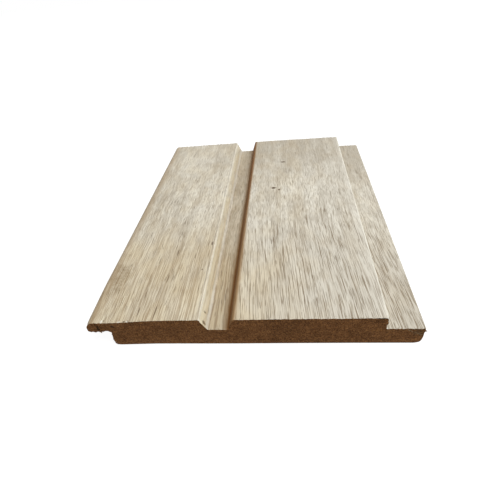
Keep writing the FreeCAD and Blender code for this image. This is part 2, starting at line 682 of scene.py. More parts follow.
# %% Helpers for node groups
def new_group(name, inputs, outputs):
    """An empty node group with named inputs, each with its start value, and named outputs."""
    tree = bpy.data.node_groups.new(name, "ShaderNodeTree")
    for label, value in inputs.items():
        kind = "NodeSocketVector" if isinstance(value, tuple) else "NodeSocketFloat"
        socket = tree.interface.new_socket(name=label, in_out="INPUT", socket_type=kind)
        socket.default_value = value
    for label, kind in outputs.items():
        tree.interface.new_socket(name=label, in_out="OUTPUT", socket_type=kind)
    return tree, tree.nodes.new("NodeGroupInput"), tree.nodes.new("NodeGroupOutput")


def use_group(tree, group, **values):
    """Places a group in a material, feeds its inputs and gives back its first output."""
    node = tree.nodes.new("ShaderNodeGroup")
    node.node_tree = group
    for label, value in values.items():
        feed(tree, node.inputs[label.replace("_", " ")], value)
    return node.outputs[0]


# %% [markdown]
# The grain runs along the board, but not dead straight. By the near cut it is still.
# Further off it sways and wriggles, and on the right block it fans out a little
# towards the cut. The first group gives a place in millimetres, and the same place
# with its X bent like that. Streaks drawn in the bent space follow the grain.

# %% Group: the space that the grain runs in
SWAY_SIZE, SWAY = (30, 60, 30), 5.0
WRIGGLE_SIZE, WRIGGLE = (5, 9, 5), 1.6
RESTLESS_STRETCH, STILLNESS = (-70.0, 5.0), 0.06
FAN_START, FAN_SLOPE = -20.0, 0.07
FAN_SIDE = (-16.0, -6.0)


def grain_space():
    outputs = {"Millimetres": "NodeSocketVector", "Grain": "NodeSocketVector"}
    tree, given, result = new_group("grain_space", {}, outputs)
    coordinates = tree.nodes.new("ShaderNodeTexCoord")
    place = calc_vector(tree, "MULTIPLY", coordinates.outputs["Object"], (1 / MM, 1 / MM, 1 / MM))
    x, y, z = split(tree, place)
    sway = centred(tree, cloud(tree, place, SWAY_SIZE, PLAIN_DETAIL))
    wriggle = centred(tree, cloud(tree, place, WRIGGLE_SIZE, PLAIN_DETAIL))
    bend = add(tree, times(tree, sway, SWAY), times(tree, wriggle, WRIGGLE))
    bend = times(tree, bend, fade(tree, y, *RESTLESS_STRETCH, STILLNESS, 1.0))
    past = calc(tree, "MAXIMUM", calc(tree, "SUBTRACT", FAN_START, y), 0.0)
    fan = times(tree, past, FAN_SLOPE, fade(tree, x, *FAN_SIDE))
    across = calc(tree, "SUBTRACT", add(tree, x, bend), fan)
    tree.links.new(place, result.inputs["Millimetres"])
    tree.links.new(combine(tree, across, y, z), result.inputs["Grain"])
    return tree


GRAIN_SPACE = grain_space()
print(f"{GRAIN_SPACE.name}: {len(GRAIN_SPACE.nodes)} nodes")


# %% [markdown]
# Fibres, pores and broad bands of colour are all streaks along the grain. They differ
# in width, in length and in how sharply they begin. One group draws them all: noise in
# grain space, divided by a width and a length, and faded in between two of its levels.

# %% Group: streaks along the grain
def streaks_group():
    inputs = {
        "Grain": (0.0, 0.0, 0.0),
        "Width": 0.5,
        "Length": 8.0,
        "From": 0.5,
        "To": 0.65,
        "Seed": 0.0,
    }
    tree, given, result = new_group("streaks", inputs, {"Mask": "NodeSocketFloat"})
    width, seed = given.outputs["Width"], given.outputs["Seed"]
    size = combine(tree, width, given.outputs["Length"], width)
    stretched = calc_vector(tree, "DIVIDE", given.outputs["Grain"], size)
    shifted = calc_vector(tree, "ADD", stretched, combine(tree, seed, seed, 0.0))
    value = noise(tree, shifted, detail=PLAIN_DETAIL)
    mask = fade(tree, value, given.outputs["From"], given.outputs["To"])
    tree.links.new(mask, result.inputs["Mask"])
    return tree


STREAKS = streaks_group()
print(f"{STREAKS.name}: {len(STREAKS.nodes)} nodes")


# %% [markdown]
# Thin lines run along the moulded arrises: pale ones that are painted highlights where
# an arris catches the light, and darker ones beside them. A line is a place across the
# board and a half width. Slow noise makes it waver and breaks it up, so that it isn't
# drawn with a ruler.

# %% Group: a line along an arris
FINE_WAVES, SLOW_WAVES = 0.35, 0.07
SLOW_ROW = 7.0
GAP_LEVELS = (0.35, 0.6)


def line_group():
    inputs = {
        "Millimetres": (0.0, 0.0, 0.0),
        "Place": 0.0,
        "Half Width": 0.5,
        "Soft": 0.3,
        "Waver": 0.6,
        "Broken": 0.6,
        "Seed": 0.0,
    }
    tree, given, result = new_group("arris_line", inputs, {"Mask": "NodeSocketFloat"})
    x, y, z = split(tree, given.outputs["Millimetres"])
    seed = given.outputs["Seed"]
    fine = combine(tree, add(tree, times(tree, y, FINE_WAVES), seed), seed, 0.0)
    slow = combine(tree, add(tree, times(tree, y, SLOW_WAVES), seed), SLOW_ROW, seed)
    wander = centred(tree, noise(tree, fine, detail=RICH_DETAIL))
    moved = add(tree, x, times(tree, wander, given.outputs["Waver"]))
    off = calc(tree, "ABSOLUTE", calc(tree, "SUBTRACT", moved, given.outputs["Place"]))
    inner = calc(tree, "SUBTRACT", given.outputs["Half Width"], given.outputs["Soft"])
    outer = add(tree, given.outputs["Half Width"], given.outputs["Soft"])
    whole = calc(tree, "SUBTRACT", 1.0, given.outputs["Broken"])
    gaps = fade(tree, noise(tree, slow, detail=RICH_DETAIL), *GAP_LEVELS, whole, 1.0)
    line = fade(tree, off, inner, outer, 1.0, 0.0)
    tree.links.new(times(tree, line, gaps), result.inputs["Mask"])
    return tree


LINE = line_group()
print(f"{LINE.name}: {len(LINE.nodes)} nodes")


# %% [markdown]
# Pits, chips and stains each sit at one place. The distance from that place, divided
# by a size along each axis, makes a round spot, and noise makes its rim ragged. A size
# that is large along one axis makes the spot a column, so that its height on the board
# needn't be known.

# %% Group: a stain or pit at one place
RIM_NOISE, RIM_RAGGED = 1.6, 1.2
RIM = (0.55, 1.1)


def spot_group():
    inputs = {"Millimetres": (0.0, 0.0, 0.0), "Place": (0.0, 0.0, 0.0), "Size": (1.0, 1.0, 50.0)}
    tree, given, result = new_group("spot", inputs, {"Mask": "NodeSocketFloat"})
    offset = calc_vector(tree, "SUBTRACT", given.outputs["Millimetres"], given.outputs["Place"])
    ratio = calc_vector(tree, "DIVIDE", offset, given.outputs["Size"])
    length = maths(tree, "ShaderNodeVectorMath", "LENGTH", (ratio,)).outputs["Value"]
    seeded = calc_vector(tree, "ADD", ratio, given.outputs["Place"])
    ragged = centred(tree, noise(tree, seeded, scale=RIM_NOISE))
    reach = add(tree, length, times(tree, ragged, RIM_RAGGED))
    tree.links.new(fade(tree, reach, *RIM, 1.0, 0.0), result.inputs["Mask"])
    return tree


SPOT = spot_group()
print(f"{SPOT.name}: {len(SPOT.nodes)} nodes")


# %% [markdown]
# Each wood material starts from the same nodes: an output, a Principled shader and the
# grain space. Pores are far finer than the mesh, so their relief is a Bump node.
# Whatever shows in the outline is in the mesh already.

# %% Helpers that start and finish a wood material
def wood_tree(slot):
    """The node tree of one of the board's materials, emptied, with its shader and grain space."""
    tree = board.material_slots[slot].material.node_tree
    tree.nodes.clear()
    output = tree.nodes.new("ShaderNodeOutputMaterial")
    shader = tree.nodes.new("ShaderNodeBsdfPrincipled")
    tree.links.new(shader.outputs["BSDF"], output.inputs["Surface"])
    space = tree.nodes.new("ShaderNodeGroup")
    space.node_tree = GRAIN_SPACE
    return tree, shader, space.outputs["Millimetres"], space.outputs["Grain"]


def finish_wood(tree, shader, colour, roughness, specular, height, relief):
    """Joins up a wood material. The relief is the depth of its bump, in metres."""
    tree.links.new(colour, shader.inputs["Base Color"])
    feed(tree, shader.inputs["Roughness"], roughness)
    shader.inputs["Specular IOR Level"].default_value = specular
    node = tree.nodes.new("ShaderNodeBump")
    node.inputs["Distance"].default_value = relief
    node.inputs["Strength"].default_value = 1.0
    tree.links.new(height, node.inputs["Height"])
    tree.links.new(node.outputs["Normal"], shader.inputs["Normal"])


# %% [markdown]
# The weathered face changes over the board. By the near cut it is creamy, with straight
# fibres. Further off, and on the right block, it is greyer and more restless. So the
# first step is a few masks that say where on the board a place is. From here on, every
# place in a material is in millimetres from the board's middle.

# %% Regions of the face
NEAR_STRETCH = (-65.0, 0.0)
FAR_STRETCH = (10.0, 80.0)
RIGHT_BLOCK = (-14.0, -4.0)
DASHED_STRETCH, DASHED_BEYOND = (-40.0, 10.0), 0.15
ON_LAP = (56.9, 57.6)


def face_regions(tree, place):
    x, y, z = split(tree, place)
    near = fade(tree, y, *NEAR_STRETCH, 1.0, 0.0)
    right = fade(tree, x, *RIGHT_BLOCK)
    dashed = times(tree, right, fade(tree, y, *DASHED_STRETCH, 1.0, DASHED_BEYOND))
    return {
        "x": x,
        "y": y,
        "z": z,
        "near": near,
        "far": fade(tree, y, *FAR_STRETCH),
        "right": right,
        "near right": times(tree, near, right),
        "dashed": dashed,
        "lap": times(tree, dashed, fade(tree, x, *ON_LAP)),
    }


# %% [markdown]
# The wood has a cream, a buff and a brown, each in a warm form and a weathered grey
# one. The grey grows with the distance from the near cut and towards the right, and
# clouds of noise keep the change from being even.

# %% The face's own colours
WARM = {"cream": srgb(223, 211, 183), "buff": srgb(191, 174, 144), "brown": srgb(150, 124, 92)}
GREY = {"cream": srgb(232, 227, 213), "buff": srgb(190, 182, 166), "brown": srgb(146, 134, 114)}
GREY_ACROSS = (-20.0, 45.0)
GREY_LEFT, GREY_RIGHT, GREY_FAR = 0.1, 1.0, 0.7
GREY_ALONG, GREY_RIGHT_MID = (-75.0, -35.0), 0.8
CLOUD_SIZE, CLOUDING = (9, 16, 9), 0.15


def face_colours(tree, place, at):
    across = fade(tree, at["x"], *GREY_ACROSS, GREY_LEFT, GREY_RIGHT)
    along = level(tree, at["near"], GREY_FAR, 0.0)
    sooner = times(tree, at["right"], fade(tree, at["y"], *GREY_ALONG, 0.0, GREY_RIGHT_MID))
    along = calc(tree, "MAXIMUM", along, sooner)
    clouds = fade(tree, cloud(tree, place, CLOUD_SIZE, RICH_DETAIL), *NOISE_SPREAD, -CLOUDING, CLOUDING)
    grey = add(tree, calc(tree, "MAXIMUM", along, across), clouds)
    return {name: mix(tree, grey, WARM[name], GREY[name]) for name in WARM}


# %% [markdown]
# How much buff lies in the cream is a sum of layers. Long bands and shorter patches
# follow the grain, and one broad cloud doesn't. Each has a share outside a region and
# another inside it. The far end, the near right and the lower lap are a little deeper
# in tone than the rest.

# %% How much buff is in the cream
BANDS = {"Width": 4.5, "Length": 80.0, "From": 0.38, "To": 0.66, "Seed": 3.0}
PATCHES = {"Width": 5.0, "Length": 14.0, "From": 0.36, "To": 0.66, "Seed": 5.0}
BROAD_SIZE, BROAD_LEVELS = (28, 40, 28), (-0.06, 0.28)
BANDS_SHARE, PATCHES_SHARE, BROAD_SHARE = (0.38, 0.16), (0.32, 0.12), (1.0, 0.35)
FAR_TONE, FAR_RIGHT_TONE = 0.15, 0.5
NEAR_RIGHT_SPAN, NEAR_RIGHT_TONE = (0.0, 45.0), (0.14, 0.36)
LAP_SPAN, LAP_TONE = (0.0, 60.0), (0.12, 0.3)


def buff_share(tree, place, grain, at):
    bands = use_group(tree, STREAKS, Grain=grain, **BANDS)
    patches = use_group(tree, STREAKS, Grain=grain, **PATCHES)
    broad = fade(tree, cloud(tree, place, BROAD_SIZE, PLAIN_DETAIL), *NOISE_SPREAD, *BROAD_LEVELS)
    on_lap = fade(tree, at["x"], *ON_LAP)
    return add(
        tree,
        times(tree, bands, level(tree, at["dashed"], *BANDS_SHARE)),
        times(tree, patches, level(tree, at["near"], *PATCHES_SHARE)),
        times(tree, broad, level(tree, at["right"], *BROAD_SHARE)),
        times(tree, at["far"], FAR_TONE),
        times(tree, at["far"], at["right"], FAR_RIGHT_TONE),
        times(tree, at["near right"], fade(tree, at["x"], *NEAR_RIGHT_SPAN, *NEAR_RIGHT_TONE)),
        times(tree, on_lap, fade(tree, at["y"], *LAP_SPAN, *LAP_TONE)),
    )


# %% [markdown]
# Over that ground lie the fibres and pores, from long soft fibres to short dark flecks.
# Each layer is the streaks group with its own widths and levels. Beside them stand
# its depths: away from the near cut, close to it, and what is added to that on the near
# right, in the dashed stretch of the right block, and on the lower lap. A layer without
# a colour of its own takes the wood's brown. All of them fade a little far away.

# %% Fibres and pores
LONG_FIBRES = {"Width": 0.48, "Length": 50.0, "From": 0.48, "To": 0.62, "Seed": 11.0}
PORES = {"Width": 0.40, "Length": 8.0, "From": 0.55, "To": 0.65, "Seed": 29.0}
RIFTS = {"Width": 0.45, "Length": 15.0, "From": 0.58, "To": 0.64, "Seed": 17.0}
DASHES = {"Width": 0.42, "Length": 20.0, "From": 0.59, "To": 0.65, "Seed": 53.0}
FLECKS = {"Width": 0.8, "Length": 4.2, "From": 0.45, "To": 0.66, "Seed": 37.0}
DARK_PORES = {"Width": 0.5, "Length": 8.0, "From": 0.65, "To": 0.72, "Seed": 41.0}
FACE_LAYERS = {
    "long fibres": (LONG_FIBRES, (0.12, 0.5), {"near right": -0.36}, None),
    "pores": (PORES, (0.4, 0.45), {"dashed": 0.1, "lap": 0.1}, None),
    "rifts": (RIFTS, (0.2, 0.35), {}, srgb(136, 118, 94)),
    "dashes": (DASHES, (0.0, 0.0), {"dashed": 0.85}, srgb(132, 116, 94)),
    "flecks": (FLECKS, (0.3, 0.05), {}, None),
    "dark pores": (DARK_PORES, (0.6, 0.6), {}, srgb(108, 90, 68)),
}
SOFTER_STRETCH, SOFTER = (0.0, 70.0), 0.65


def add_pores(tree, colour, brown, grain, at):
    """Lays the streaks over a colour, and gives back their masks as well."""
    masks = {}
    softer = fade(tree, at["y"], *SOFTER_STRETCH, 1.0, SOFTER)
    for name, (recipe, (far_depth, near_depth), extras, paint) in FACE_LAYERS.items():
        masks[name] = use_group(tree, STREAKS, Grain=grain, **recipe)
        depth = level(tree, at["near"], far_depth, near_depth)
        for region, extra in extras.items():
            depth = add(tree, depth, times(tree, at[region], extra))
        colour = mix(tree, times(tree, masks[name], depth, softer), colour, paint or brown)
    return colour, masks


print("layers:", ", ".join(FACE_LAYERS))

# %% [markdown]
# Marks that the eye picks out one by one can't come from noise. Each gets a place on
# the board, a size and a depth: small dark pits and short dark rifts, pale chips
# along the near cut, and one soft brown stain by the left edge. Where the face nears
# the shoulder it is rubbed pale, with a painted highlight towards the arris.

# %% Marks on the face
PIT_PAINT, CHIP_PAINT = srgb(84, 62, 38), srgb(240, 236, 222)
DARK_MARKS = [
    (-22.0, -36.1, 0.6, 2.0, 0.75),
    (-24.1, -55.2, 0.45, 0.7, 0.7),
    (-48.2, -80.0, 0.3, 3.4, 0.8),
    (-47.6, -70.0, 0.3, 4.0, 0.5),
    (-40.4, -80.0, 0.5, 4.5, 0.5),
    (-47.0, -48.0, 0.4, 3.0, 0.5),
    (-39.0, -42.7, 0.4, 3.6, 0.6),
    (-39.6, -60.5, 0.4, 3.4, 0.6),
    (-64.4, -53.6, 0.7, 0.8, 0.5),
    (-19.2, -83.4, 0.65, 0.9, 1.0),
    (-19.4, -78.4, 0.45, 0.7, 0.9),
    (-62.9, -83.8, 0.35, 0.4, 0.8),
    (-53.2, -84.5, 0.55, 0.45, 0.9),
    (-51.6, -84.4, 0.5, 0.45, 0.9),
    (9.4, 15.3, 2.0, 1.3, 0.95),
    (12.7, 13.0, 0.9, 1.2, 0.9),
    (15.2, 48.9, 2.1, 1.3, 0.8),
    (-15.2, 48.0, 0.8, 0.8, 0.5),
]
PALE_CHIPS = [
    (-63.7, -84.2, 0.55, 0.9, 0.9),
    (-55.6, -84.7, 0.8, 0.5, 0.7),
    (-51.9, -84.6, 0.6, 0.5, 0.7),
    (-20.2, -84.3, 0.7, 0.8, 0.8),
]
ANY_HEIGHT = 50.0
STAIN_PLACE, STAIN_SIZE = (-64.6, -59.5, 0.0), (6.4, 13.0, ANY_HEIGHT)
CURL_SCALE, CURL_LEVELS = 0.9, (0.4, 0.62)
STAIN_DEPTHS, STAIN_PAINT = (0.3, 0.55), srgb(138, 116, 84)
# Paler towards the shoulder: rubbing wear with a painted highlight along the arris.
WEAR_AND_HIGHLIGHT_FROM, WEAR_AND_HIGHLIGHT_TO = (49.0, 56.5), (56.6, 57.2)
WEAR_AND_HIGHLIGHT_DEPTH, WEAR_AND_HIGHLIGHT_PAINT = 0.22, srgb(234, 230, 218)


def add_marks(tree, colour, place, grain, at):
    wear_and_highlight = fade(tree, at["x"], *WEAR_AND_HIGHLIGHT_FROM, 0.0, WEAR_AND_HIGHLIGHT_DEPTH)
    wear_and_highlight = times(tree, wear_and_highlight, fade(tree, at["x"], *WEAR_AND_HIGHLIGHT_TO, 1.0, 0.0))
    colour = mix(tree, wear_and_highlight, colour, WEAR_AND_HIGHLIGHT_PAINT)
    for marks, paint in ((DARK_MARKS, PIT_PAINT), (PALE_CHIPS, CHIP_PAINT)):
        for x, y, size_x, size_y, depth in marks:
            size = (size_x, size_y, ANY_HEIGHT)
            spot = use_group(tree, SPOT, Millimetres=place, Place=(x, y, 0.0), Size=size)
            colour = mix(tree, times(tree, spot, depth), colour, paint)
    stain = use_group(tree, SPOT, Millimetres=place, Place=STAIN_PLACE, Size=STAIN_SIZE)
    curls = noise(tree, grain, scale=CURL_SCALE, detail=PLAIN_DETAIL)
    stain = times(tree, stain, fade(tree, curls, *CURL_LEVELS, *STAIN_DEPTHS))
    return mix(tree, stain, colour, STAIN_PAINT)


print(f"marks: {len(DARK_MARKS)} dark ones, {len(PALE_CHIPS)} pale chips and a stain")

# %% [markdown]
# Lines run along the channel's left arris and foot, and along the shoulder, where the
# moulding turns. The white ones are painted highlights on the rounded arrises and the
# slope's foot, the cream and tan ones lie on the slope, and two darker ones run beside
# the left arris and along the slope's foot. Each has a place across the board, a half
# width, a colour and a depth at the near and at the far end. The tan edge on the left
# is painted shade on the nose, which faces away from the lamp, fading onto the face's
# left edge.

# %% Lines along the arrises
# Rows one, four and seven are painted highlights. The cream and tan rows lie on the slope, and the two
# dark rows are darker lines at the slope's foot and left of its arris.
ARRIS_HIGHLIGHTS_AND_LINES = [
    (-20.5, 0.32, srgb(244, 238, 220), 0.90, 0.9),
    (-19.8, 0.45, srgb(234, 222, 190), 0.80, 0.6),
    (-19.0, 0.30, srgb(214, 196, 160), 0.60, 0.6),
    (-18.2, 0.32, srgb(232, 227, 212), 0.85, 0.45),
    (-17.5, 0.28, srgb(146, 130, 112), 0.65, 0.4),
    (-21.4, 0.22, srgb(150, 142, 130), 0.65, 0.5),
    (56.3, 0.34, srgb(236, 232, 218), 0.75, 0.85),
]
LINE_SOFT, LINE_SEED_STEP = 0.2, 3.7
LINE_STRETCH = (-60.0, 0.0)
# The tan over the nose and the face's left edge is painted shade on the side away from the lamp.
NOSE_EDGE, NOSE_DEPTH, NOSE_SHADE_PAINT = (3.5, 9.0), 0.55, srgb(160, 136, 102)


def add_lines(tree, colour, place, at):
    for number, (x, half_width, paint, near_depth, far_depth) in enumerate(ARRIS_HIGHLIGHTS_AND_LINES):
        shape = {"Place": x, "Half_Width": half_width, "Soft": LINE_SOFT}
        seed = number * LINE_SEED_STEP
        line = use_group(tree, LINE, Millimetres=place, Seed=seed, **shape)
        depth = fade(tree, at["y"], *LINE_STRETCH, near_depth, far_depth)
        colour = mix(tree, times(tree, line, depth), colour, paint)
    start, end = [LEFT / MM + reach for reach in NOSE_EDGE]
    return mix(tree, fade(tree, at["x"], start, end, NOSE_DEPTH, 0.0), colour, NOSE_SHADE_PAINT)


print(f"lines: {len(ARRIS_HIGHLIGHTS_AND_LINES)} along the arrises")

# %% [markdown]
# The channel's floor is darker, with its grain still showing. Its colour is multiplied
# by painted shade for the recess, and a little dust lies over that. The wall on its right
# is dark brown, a stain with painted shadow over it, with a tan edge that spills over the
# arris and a tan of painted shadow on the floor before it. Towards the far end the
# photograph has that brown line a little further right than a parallel wall would put it,
# so the paint drifts that way while the mesh stays parallel.

# %% The channel's floor
# The floor's multiply colour is painted shade for the recess, and the dust is a thin layer over it.
FLOOR_PAINTED_SHADE = (0.80, 0.76, 0.71, 1.0)
FLOOR_DUST, DUST_DEPTH = srgb(162, 150, 128), 0.15
FLOOR_RISE = (FLOOR_HEIGHT / MM + 0.8, FLOOR_HEIGHT / MM + 1.6)
FLOOR_LEFT = (SLOPE_FOOT / MM - 0.2, SLOPE_FOOT / MM + 1.0)
FLOOR_RIGHT = (WALL_FOOT / MM - 0.5, WALL_FOOT / MM + 0.5)
FLOOR_STRETCH, FLOOR_FAR = (-10.0, 80.0), 0.7


def paint_floor_shade_and_dust(tree, colour, at):
    on_floor = times(
        tree,
        fade(tree, at["z"], *FLOOR_RISE, 1.0, 0.0),
        fade(tree, at["x"], *FLOOR_LEFT),
        fade(tree, at["x"], *FLOOR_RIGHT, 1.0, 0.0),
        fade(tree, at["y"], *FLOOR_STRETCH, 1.0, FLOOR_FAR),
    )
    colour = mix(tree, on_floor, colour, FLOOR_PAINTED_SHADE, "MULTIPLY")
    return mix(tree, times(tree, on_floor, DUST_DEPTH), colour, FLOOR_DUST)


# %% The channel's dark wall
# The core and the tan are the wall's brown stain with painted shadow over it. The tan also lays painted
# shadow on the floor before the wall.
WALL_CORE_STAIN_AND_SHADE, WALL_TAN_STAIN_AND_SHADE = srgb(113, 70, 14), srgb(146, 110, 66)
DRIFT_STRETCH, DRIFT = (-85.0, 60.0), 0.9
DISTANT_STRETCH = (-70.0, 30.0)
FOOT, ARRIS = WALL_FOOT / MM, WALL_TOP / MM
TAN_IN, TAN_DEPTH = (FOOT - 3.2, FOOT + 0.2), 0.88
TAN_OUT, TAN_NARROWS = (ARRIS + 0.2, ARRIS + 2.3), 0.9
CORE_IN, CORE_DEPTH = (FOOT - 1.4, FOOT + 0.1), 0.97
CORE_OUT, CORE_LEFT_OVER, CORE_WIDENS = (FOOT + 0.6, ARRIS + 0.4), 0.15, 1.0
CORE_END = (ARRIS - 0.3, ARRIS + 0.8)


def paint_wall_stain_and_shade(tree, colour, at):
    x = calc(tree, "SUBTRACT", at["x"], fade(tree, at["y"], *DRIFT_STRETCH, 0.0, DRIFT))
    distant = fade(tree, at["y"], *DISTANT_STRETCH)
    tan_x = add(tree, x, times(tree, distant, TAN_NARROWS))
    tan = times(
        tree,
        fade(tree, x, *TAN_IN, 0.0, TAN_DEPTH),
        fade(tree, tan_x, *TAN_OUT, 1.0, 0.0),
    )
    colour = mix(tree, tan, colour, WALL_TAN_STAIN_AND_SHADE)
    core_x = calc(tree, "SUBTRACT", x, times(tree, distant, CORE_WIDENS))
    core = times(
        tree,
        fade(tree, x, *CORE_IN, 0.0, CORE_DEPTH),
        fade(tree, core_x, *CORE_OUT, 1.0, CORE_LEFT_OVER),
        fade(tree, x, *CORE_END, 1.0, 0.0),
    )
    return mix(tree, core, colour, WALL_CORE_STAIN_AND_SHADE)


# %% [markdown]
# Now the face is put together in that order, from the ground up. The pores are a
# little rougher than the wood between them, and lie a few hundredths of a millimetre
# below it.

# %% Paint the weathered face
FACE_GLOSS, PORE_GLOSS = 0.62, 0.8
FACE_SPECULAR = 0.3
FIBRE_RELIEF = 0.7
PORE_RELIEF = 0.06 * MM


def paint_face():
    tree, shader, place, grain = wood_tree(FACE)
    at = face_regions(tree, place)
    colours = face_colours(tree, place, at)
    colour = mix(tree, buff_share(tree, place, grain, at), colours["cream"], colours["buff"])
    colour, masks = add_pores(tree, colour, colours["brown"], grain, at)
    colour = add_marks(tree, colour, place, grain, at)
    colour = add_lines(tree, colour, place, at)
    colour = paint_floor_shade_and_dust(tree, colour, at)
    colour = paint_wall_stain_and_shade(tree, colour, at)
    pores, fibres = masks["pores"], masks["long fibres"]
    gloss = level(tree, calc(tree, "MAXIMUM", pores, fibres), FACE_GLOSS, PORE_GLOSS)
    depth = calc(tree, "MAXIMUM", pores, times(tree, fibres, FIBRE_RELIEF))
    height = calc(tree, "SUBTRACT", 1.0, depth)
    finish_wood(tree, shader, colour, gloss, FACE_SPECULAR, height, PORE_RELIEF)
    return tree


print(f"weathered face: {len(paint_face().nodes)} nodes")


# %% [markdown]
# Sawn end grain is a felt of cut fibres: dark brown, speckled and rough, with faint
# arcs of the growth rings. Fine noise makes the specks and the relief, coarse noise
# the patches, and stretched noise the arcs. Deeper pits crowd to the right of the
# channel.

# %% The end grain
END_DARK, END_LIGHT, PIT_DARK = srgb(84, 50, 20), srgb(176, 124, 76), srgb(48, 30, 16)
SPECK_SCALE, SPECK_ROUGH, SPECK_LEVELS, SPECK_SHARE = 1.7, 0.7, (0.32, 0.68), 0.7
PATCH_SCALE, PATCH_SHARE = 0.2, 0.15
RING_SQUEEZE, RING_SHARE = (0.12, 0.1, 0.9), 0.15
PIT_SCALE, PIT_LEVELS, PIT_DEPTH = 2.6, (0.62, 0.7), 0.7
CROWD_FROM, CROWD_TO, CROWDING = (2.0, 12.0), (14.0, 30.0), 0.09


def end_grain(tree, place, x, near_end):
    """The end's ground colour, and the specks that also make its relief."""
    specks = noise(tree, place, scale=SPECK_SCALE, detail=RICH_DETAIL, roughness=SPECK_ROUGH)
    specks = fade(tree, specks, *SPECK_LEVELS)
    patches = fade(tree, noise(tree, place, scale=PATCH_SCALE, detail=RICH_DETAIL), *NOISE_SPREAD)
    arcs = calc_vector(tree, "MULTIPLY", place, RING_SQUEEZE)
    rings = fade(tree, noise(tree, arcs), *NOISE_SPREAD)
    shares = ((specks, SPECK_SHARE), (patches, PATCH_SHARE), (rings, RING_SHARE))
    tone = add(tree, *[times(tree, mask, share) for mask, share in shares])
    colour = mix(tree, tone, END_DARK, END_LIGHT)
    crowd = times(tree, near_end, fade(tree, x, *CROWD_FROM), fade(tree, x, *CROWD_TO, CROWDING, 0.0))
    pits = add(tree, noise(tree, place, scale=PIT_SCALE, detail=PLAIN_DETAIL), crowd)
    return mix(tree, times(tree, fade(tree, pits, *PIT_LEVELS), PIT_DEPTH), colour, PIT_DARK), specks


# %% [markdown]
# The near end has marks of its own: the dark mouth of the crack, painted shade inside
# its cleft, and a hole beside it, a line of painted shadow under the shoulder's arris, a
# greyed lap, and on the lap two pale fibres that lie across the cut. Spots and lines
# from the same groups serve here, the lines leaned over so that they run from one point
# to another. A mark is a place and a size across and up the end, a depth and a colour.
# A streak is a top, a foot, a half width, a depth and a colour.

# %% Marks on the near end
SPOT_REACH = 9.0
END_MARKS = [
    # The first row is the crack's mouth, painted shade inside the cleft.
    (-66.9, 12.6, 0.9, 1.2, 0.6, srgb(44, 27, 14)),
    (-59.5, 14.5, 0.9, 0.8, 0.8, srgb(46, 28, 14)),
    (54.5, 17.9, 3.6, 0.5, 0.8, srgb(78, 68, 52)),
    (69.0, 10.3, 4.5, 0.5, 0.7, srgb(78, 66, 48)),
    (70.0, 7.8, 3.0, 2.0, 0.35, srgb(104, 90, 66)),
    (54.0, 9.8, 5.0, 1.0, 0.3, srgb(170, 118, 66)),
]
END_STREAKS = [
    # The first streak darkens the crack with painted shade.
    ((-67.1, 16.4), (-66.8, 11.6), 0.26, 0.6, srgb(44, 27, 14)),
    ((64.8, 10.3), (67.9, 8.2), 0.22, 0.6, srgb(206, 192, 160)),
    ((67.9, 8.3), (72.2, 5.8), 0.18, 0.45, srgb(206, 192, 160)),
]
STREAK_STRETCH, STREAK_SOFT, STREAK_BROKEN = 3.0, 0.12, 0.3
STREAK_TIP = 0.5


def add_end_marks(tree, colour, place, x, z, near_end):
    for mark_x, mark_z, size_x, size_z, depth, paint in END_MARKS:
        middle, size = (mark_x, NEAR / MM, mark_z), (size_x, SPOT_REACH, size_z)
        spot = use_group(tree, SPOT, Millimetres=place, Place=middle, Size=size)
        colour = mix(tree, times(tree, spot, depth), colour, paint)
    for (top_x, top_z), (foot_x, foot_z), half_width, depth, paint in END_STREAKS:
        lean = (foot_x - top_x) / (foot_z - top_z)
        leaned = calc(tree, "SUBTRACT", x, times(tree, calc(tree, "SUBTRACT", z, top_z), lean))
        upright = combine(tree, leaned, times(tree, z, STREAK_STRETCH), 0.0)
        shape = {"Place": top_x, "Half_Width": half_width, "Soft": STREAK_SOFT, "Broken": STREAK_BROKEN}
        line = use_group(tree, LINE, Millimetres=upright, **shape)
        above = fade(tree, z, foot_z, foot_z + STREAK_TIP)
        below = fade(tree, z, top_z, top_z - STREAK_TIP)
        colour = mix(tree, times(tree, line, below, near_end, above, depth), colour, paint)
    return colour


print(f"near end: {len(END_MARKS)} marks and {len(END_STREAKS)} streaks")

# %% [markdown]
# The end is put together like the face. A darker band along the bottom, where the saw
# came out, is painted shade where the light is least. End grain hardly shines at all.

# %% Paint the sawn ends
NEAR_END = (NEAR / MM + 2.0, NEAR / MM + 3.0)
# The low band is painted shade along the bottom of the end.
LOW_BAND, LOW_DEPTH, LOW_SHADE_PAINT = (0.3, 1.5), 0.45, srgb(86, 54, 26)
END_ROUGHNESS, END_SPECULAR = 0.9, 0.15
END_RELIEF = 0.3 * MM


def paint_end():
    tree, shader, place, grain = wood_tree(END)
    x, y, z = split(tree, place)
    near_end = fade(tree, y, *NEAR_END, 1.0, 0.0)
    colour, specks = end_grain(tree, place, x, near_end)
    colour = add_end_marks(tree, colour, place, x, z, near_end)
    colour = mix(tree, fade(tree, z, *LOW_BAND, LOW_DEPTH, 0.0), colour, LOW_SHADE_PAINT)
    finish_wood(tree, shader, colour, END_ROUGHNESS, END_SPECULAR, specks, END_RELIEF)
    return tree


print(f"sawn ends: {len(paint_end().nodes)} nodes")


# %% [markdown]
# The photograph never shows the back and the rebate. They are planed and have seen no
# weather, so they get the warm cream and buff of fresh wood with fine long lines. The
# same streaks group draws them, in three plain layers.

